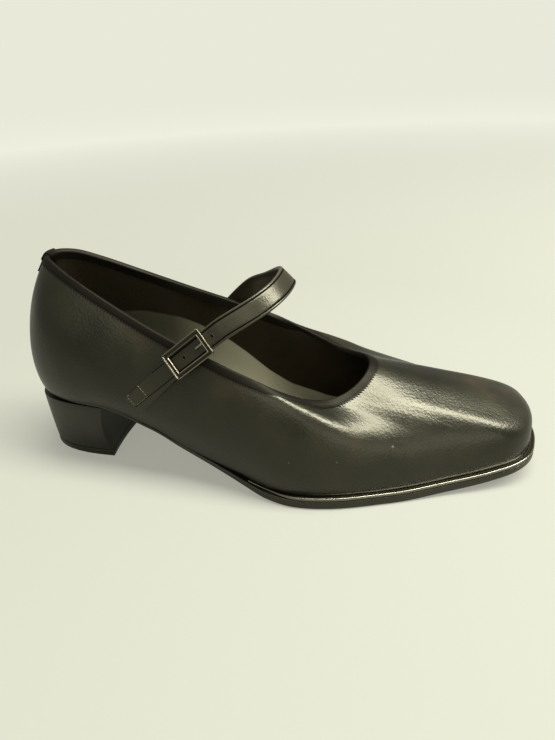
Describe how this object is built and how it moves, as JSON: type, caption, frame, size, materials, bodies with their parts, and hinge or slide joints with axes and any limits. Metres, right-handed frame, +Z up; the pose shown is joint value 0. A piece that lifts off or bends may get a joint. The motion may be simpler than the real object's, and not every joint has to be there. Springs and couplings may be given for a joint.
{
  "type": "heeled bar shoe",
  "caption": "Square-toed leather court shoe for the right foot with a low heel, a strap over the instep and a side buckle.",
  "frame": {"origin": "middle of the shoe's footprint, on the floor it stands on", "axes": "+X from the heel to the toe, +Y to the inner (medial) side of the right foot, +Z up"},
  "size_m": [0.2464, 0.0872, 0.1021],
  "materials": {
    "upper_leather": "smooth, satin gloss",
    "sole_leather": "inked edge, satin",
    "lining_leather": "smooth, low gloss",
    "dark_metal": "darkened, worn bright on the rims"
  },
  "bodies": {
    "root": {"outsole": "sole_leather", "welt": "sole_leather", "heel_block": "upper_leather", "top_lift": "sole_leather", "insole": "lining_leather", "upper": "upper_leather", "topline_binding": "upper_leather", "back_tab": "upper_leather", "buckle_tab": "upper_leather", "strap": "upper_leather", "buckle_frame": "dark_metal", "buckle_pin": "dark_metal", "strap_ring": "dark_metal"}
  },
  "joints": []
}
